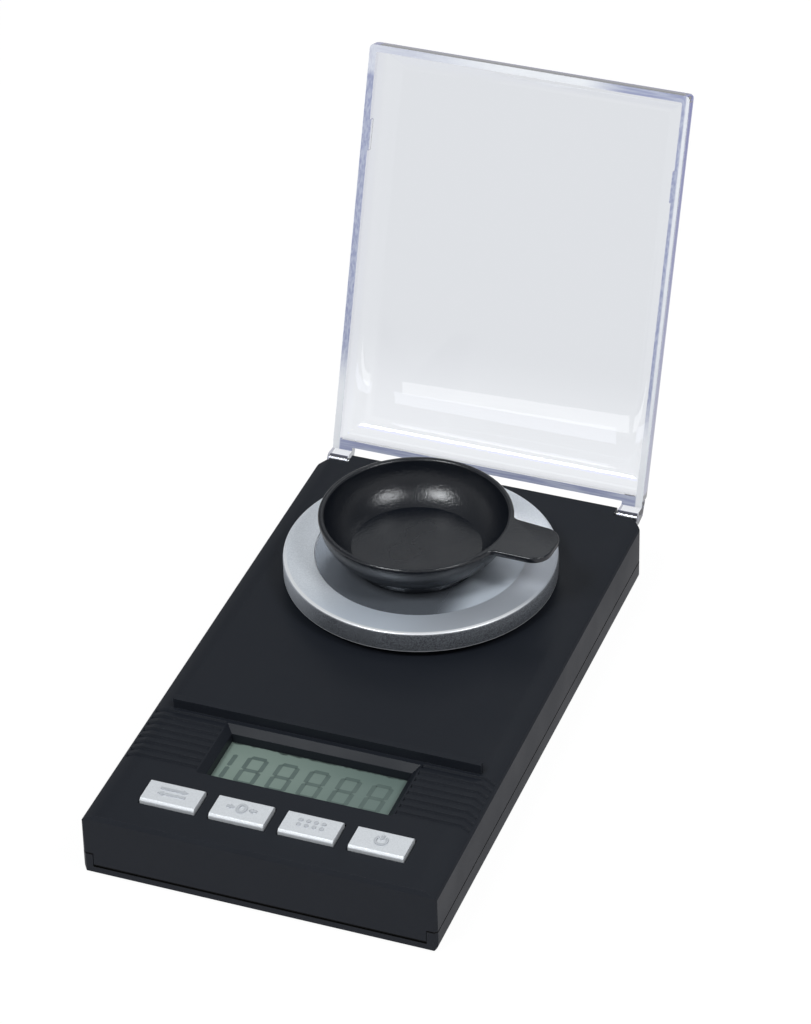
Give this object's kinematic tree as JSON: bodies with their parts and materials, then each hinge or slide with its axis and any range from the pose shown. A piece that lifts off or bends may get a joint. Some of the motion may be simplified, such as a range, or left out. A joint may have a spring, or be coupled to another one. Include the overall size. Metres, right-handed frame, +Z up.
{
  "type": "pocket scale",
  "caption": "Flat digital pocket scale with a round weighing platform, a loose round pan with a pouring tab, a small display over a row of keys and a hinged clear lid.",
  "frame": {"origin": "middle of the case on the surface that the feet stand on", "axes": "+X to the right across the case, +Y back to the lid's hinge, +Z up"},
  "size_m": [0.065, 0.1477, 0.0877],
  "materials": {
    "black_abs": "fine satin texture",
    "white_abs": "matt",
    "battery_jacket": "bare metal jacket",
    "spring_steel": "plated",
    "lead_insulation": "matt",
    "circuit_board": "solder resist",
    "chip_resin": "matt",
    "component_resin": "matt",
    "lcd_glass": "grey-green display with a matt polariser",
    "connector_rubber": "soft",
    "silver_key": "silver paint",
    "load_cell_aluminium": "milled",
    "screw_steel": "zinc",
    "screw_black": "black zinc",
    "gauge_film": "film",
    "silver_platform": "silver metallic paint",
    "black_pan": "satin, finely speckled",
    "clear_lid": "clear with a faint blue edge tint",
    "foot_rubber": "soft"
  },
  "bodies": {
    "scale_case": {"bottom_case": "black_abs", "top_case": "black_abs", "batteries": "battery_jacket", "battery_springs": "spring_steel", "battery_contacts": "spring_steel", "battery_leads": "lead_insulation", "circuit_board": "circuit_board", "controller_chip": "chip_resin", "board_components": "component_resin", "lcd_panel": "lcd_glass", "lcd_frame": "white_abs", "lcd_connector_strips": "connector_rubber", "key_switches": "chip_resin", "load_cell": "load_cell_aluminium", "load_cell_spacer": "load_cell_aluminium", "load_cell_screws": "screw_steel", "strain_gauges": "gauge_film", "overload_stop_screw": "screw_steel", "sensor_cable": "lead_insulation", "hinge_pins": "screw_steel", "case_screws": "screw_black", "board_screws": "screw_steel", "rubber_feet": "foot_rubber"},
    "lid": {"lid": "clear_lid"},
    "weighing_platform": {"platform": "silver_platform", "platform_carrier": "load_cell_aluminium"},
    "weighing_pan": {"weighing_pan": "black_pan"},
    "battery_door": {"battery_door": "black_abs"},
    "key_mode": {"key_mode": "silver_key"},
    "key_tare": {"key_tare": "silver_key"},
    "key_count": {"key_count": "silver_key"},
    "key_power": {"key_power": "silver_key"}
  },
  "joints": [
    {"name": "lid_hinge", "type": "hinge", "parent": "scale_case", "child": "lid", "pos_m": [0, 0.057, 0.0117], "axis": [-1, 0, 0], "range_deg": [-77, 0]},
    {"name": "platform_travel", "type": "slide", "parent": "scale_case", "child": "weighing_platform", "axis": [0, 0, 1], "range_m": [-0.0002, 0], "stiffness_N_per_m": 4900, "springref_m": 0.0001},
    {"name": "pan_lift", "type": "slide", "parent": "weighing_platform", "child": "weighing_pan", "axis": [0, 0, 1], "range_m": [0, 0.06]},
    {"name": "battery_door_slide", "type": "slide", "parent": "scale_case", "child": "battery_door", "axis": [0, 1, 0], "range_m": [-0.0055, 0]},
    {"name": "key_mode_press", "type": "slide", "parent": "scale_case", "child": "key_mode", "axis": [0, 0, 1], "range_m": [-0.0004, 0], "stiffness_N_per_m": 800, "springref_m": 0.001},
    {"name": "key_tare_press", "type": "slide", "parent": "scale_case", "child": "key_tare", "axis": [0, 0, 1], "range_m": [-0.0004, 0], "stiffness_N_per_m": 800, "springref_m": 0.001},
    {"name": "key_count_press", "type": "slide", "parent": "scale_case", "child": "key_count", "axis": [0, 0, 1], "range_m": [-0.0004, 0], "stiffness_N_per_m": 800, "springref_m": 0.001},
    {"name": "key_power_press", "type": "slide", "parent": "scale_case", "child": "key_power", "axis": [0, 0, 1], "range_m": [-0.0004, 0], "stiffness_N_per_m": 800, "springref_m": 0.001}
  ]
}
